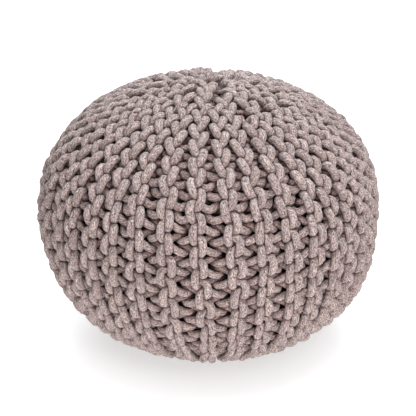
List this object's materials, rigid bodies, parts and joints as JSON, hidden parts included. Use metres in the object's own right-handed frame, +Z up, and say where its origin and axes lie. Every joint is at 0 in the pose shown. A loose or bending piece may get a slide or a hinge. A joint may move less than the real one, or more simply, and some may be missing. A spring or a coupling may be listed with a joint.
{
  "type": "knitted pouf",
  "caption": "Round filled floor pouf in a cover knitted from thick cotton cord, with ridges running from the gathered top to the flat base.",
  "frame": {"origin": "on the floor, under the middle of the pouf: the bottom centre of its box", "axes": "+Z up through the gathered top; the pouf is round about Z, and the side seen in the picture faces -Y"},
  "size_m": [0.498, 0.5008, 0.3876],
  "materials": {
    "knitted_cord": "matte heathered cotton cord"
  },
  "bodies": {
    "root": {"knitted_pouf": "knitted_cord"}
  },
  "joints": []
}
